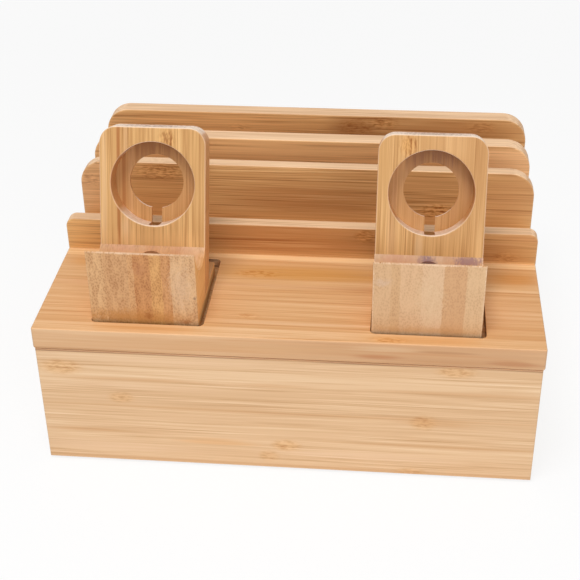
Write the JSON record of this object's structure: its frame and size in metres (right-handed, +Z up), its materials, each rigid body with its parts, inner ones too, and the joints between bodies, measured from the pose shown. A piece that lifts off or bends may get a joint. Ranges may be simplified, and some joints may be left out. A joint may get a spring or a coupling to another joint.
{
  "type": "charging station organizer",
  "caption": "Wooden charging box with a lift-off lid, upright dividers for phones and tablets, and lift-out watch stands with stepped round puck seats.",
  "frame": {"origin": "on the ground, under the middle of the lid board, level with the underside of the feet", "axes": "+X to the right along the width, +Y to the back, +Z up"},
  "size_m": [0.28, 0.2188, 0.1831],
  "materials": {
    "bamboo_wall": "satin",
    "bamboo_lid": "satin",
    "bamboo_divider": "satin",
    "bamboo_plate": "satin",
    "bamboo_block": "matte",
    "bamboo_floor": "matte",
    "dowel_wood": "matte",
    "screw_steel": "zinc plated",
    "foot_rubber": "matte"
  },
  "bodies": {
    "box": {"front_wall": "bamboo_wall", "back_wall": "bamboo_wall", "left_wall": "bamboo_wall", "right_wall": "bamboo_wall", "floor_board": "bamboo_floor", "corner_dowels": "dowel_wood", "feet": "foot_rubber"},
    "lid": {"lid_board": "bamboo_lid", "left_cleat": "bamboo_floor", "right_cleat": "bamboo_floor", "divider_screws": "screw_steel", "cleat_screws": "screw_steel", "low_divider": "bamboo_divider", "middle_divider": "bamboo_divider", "upper_divider": "bamboo_divider", "back_divider": "bamboo_divider"},
    "left_stand": {"left_stand_block": "bamboo_block", "left_watch_plate": "bamboo_plate", "left_stand_dowels": "dowel_wood"},
    "right_stand": {"right_stand_block": "bamboo_block", "right_watch_plate": "bamboo_plate", "right_stand_dowels": "dowel_wood"}
  },
  "joints": [
    {"name": "lid_lift", "type": "slide", "parent": "box", "child": "lid", "axis": [0, 0, 1], "range_m": [0, 0.06]},
    {"name": "left_stand_lift", "type": "slide", "parent": "lid", "child": "left_stand", "axis": [0, 0, 1], "range_m": [0, 0.04]},
    {"name": "right_stand_lift", "type": "slide", "parent": "lid", "child": "right_stand", "axis": [0, 0, 1], "range_m": [0, 0.04]}
  ]
}
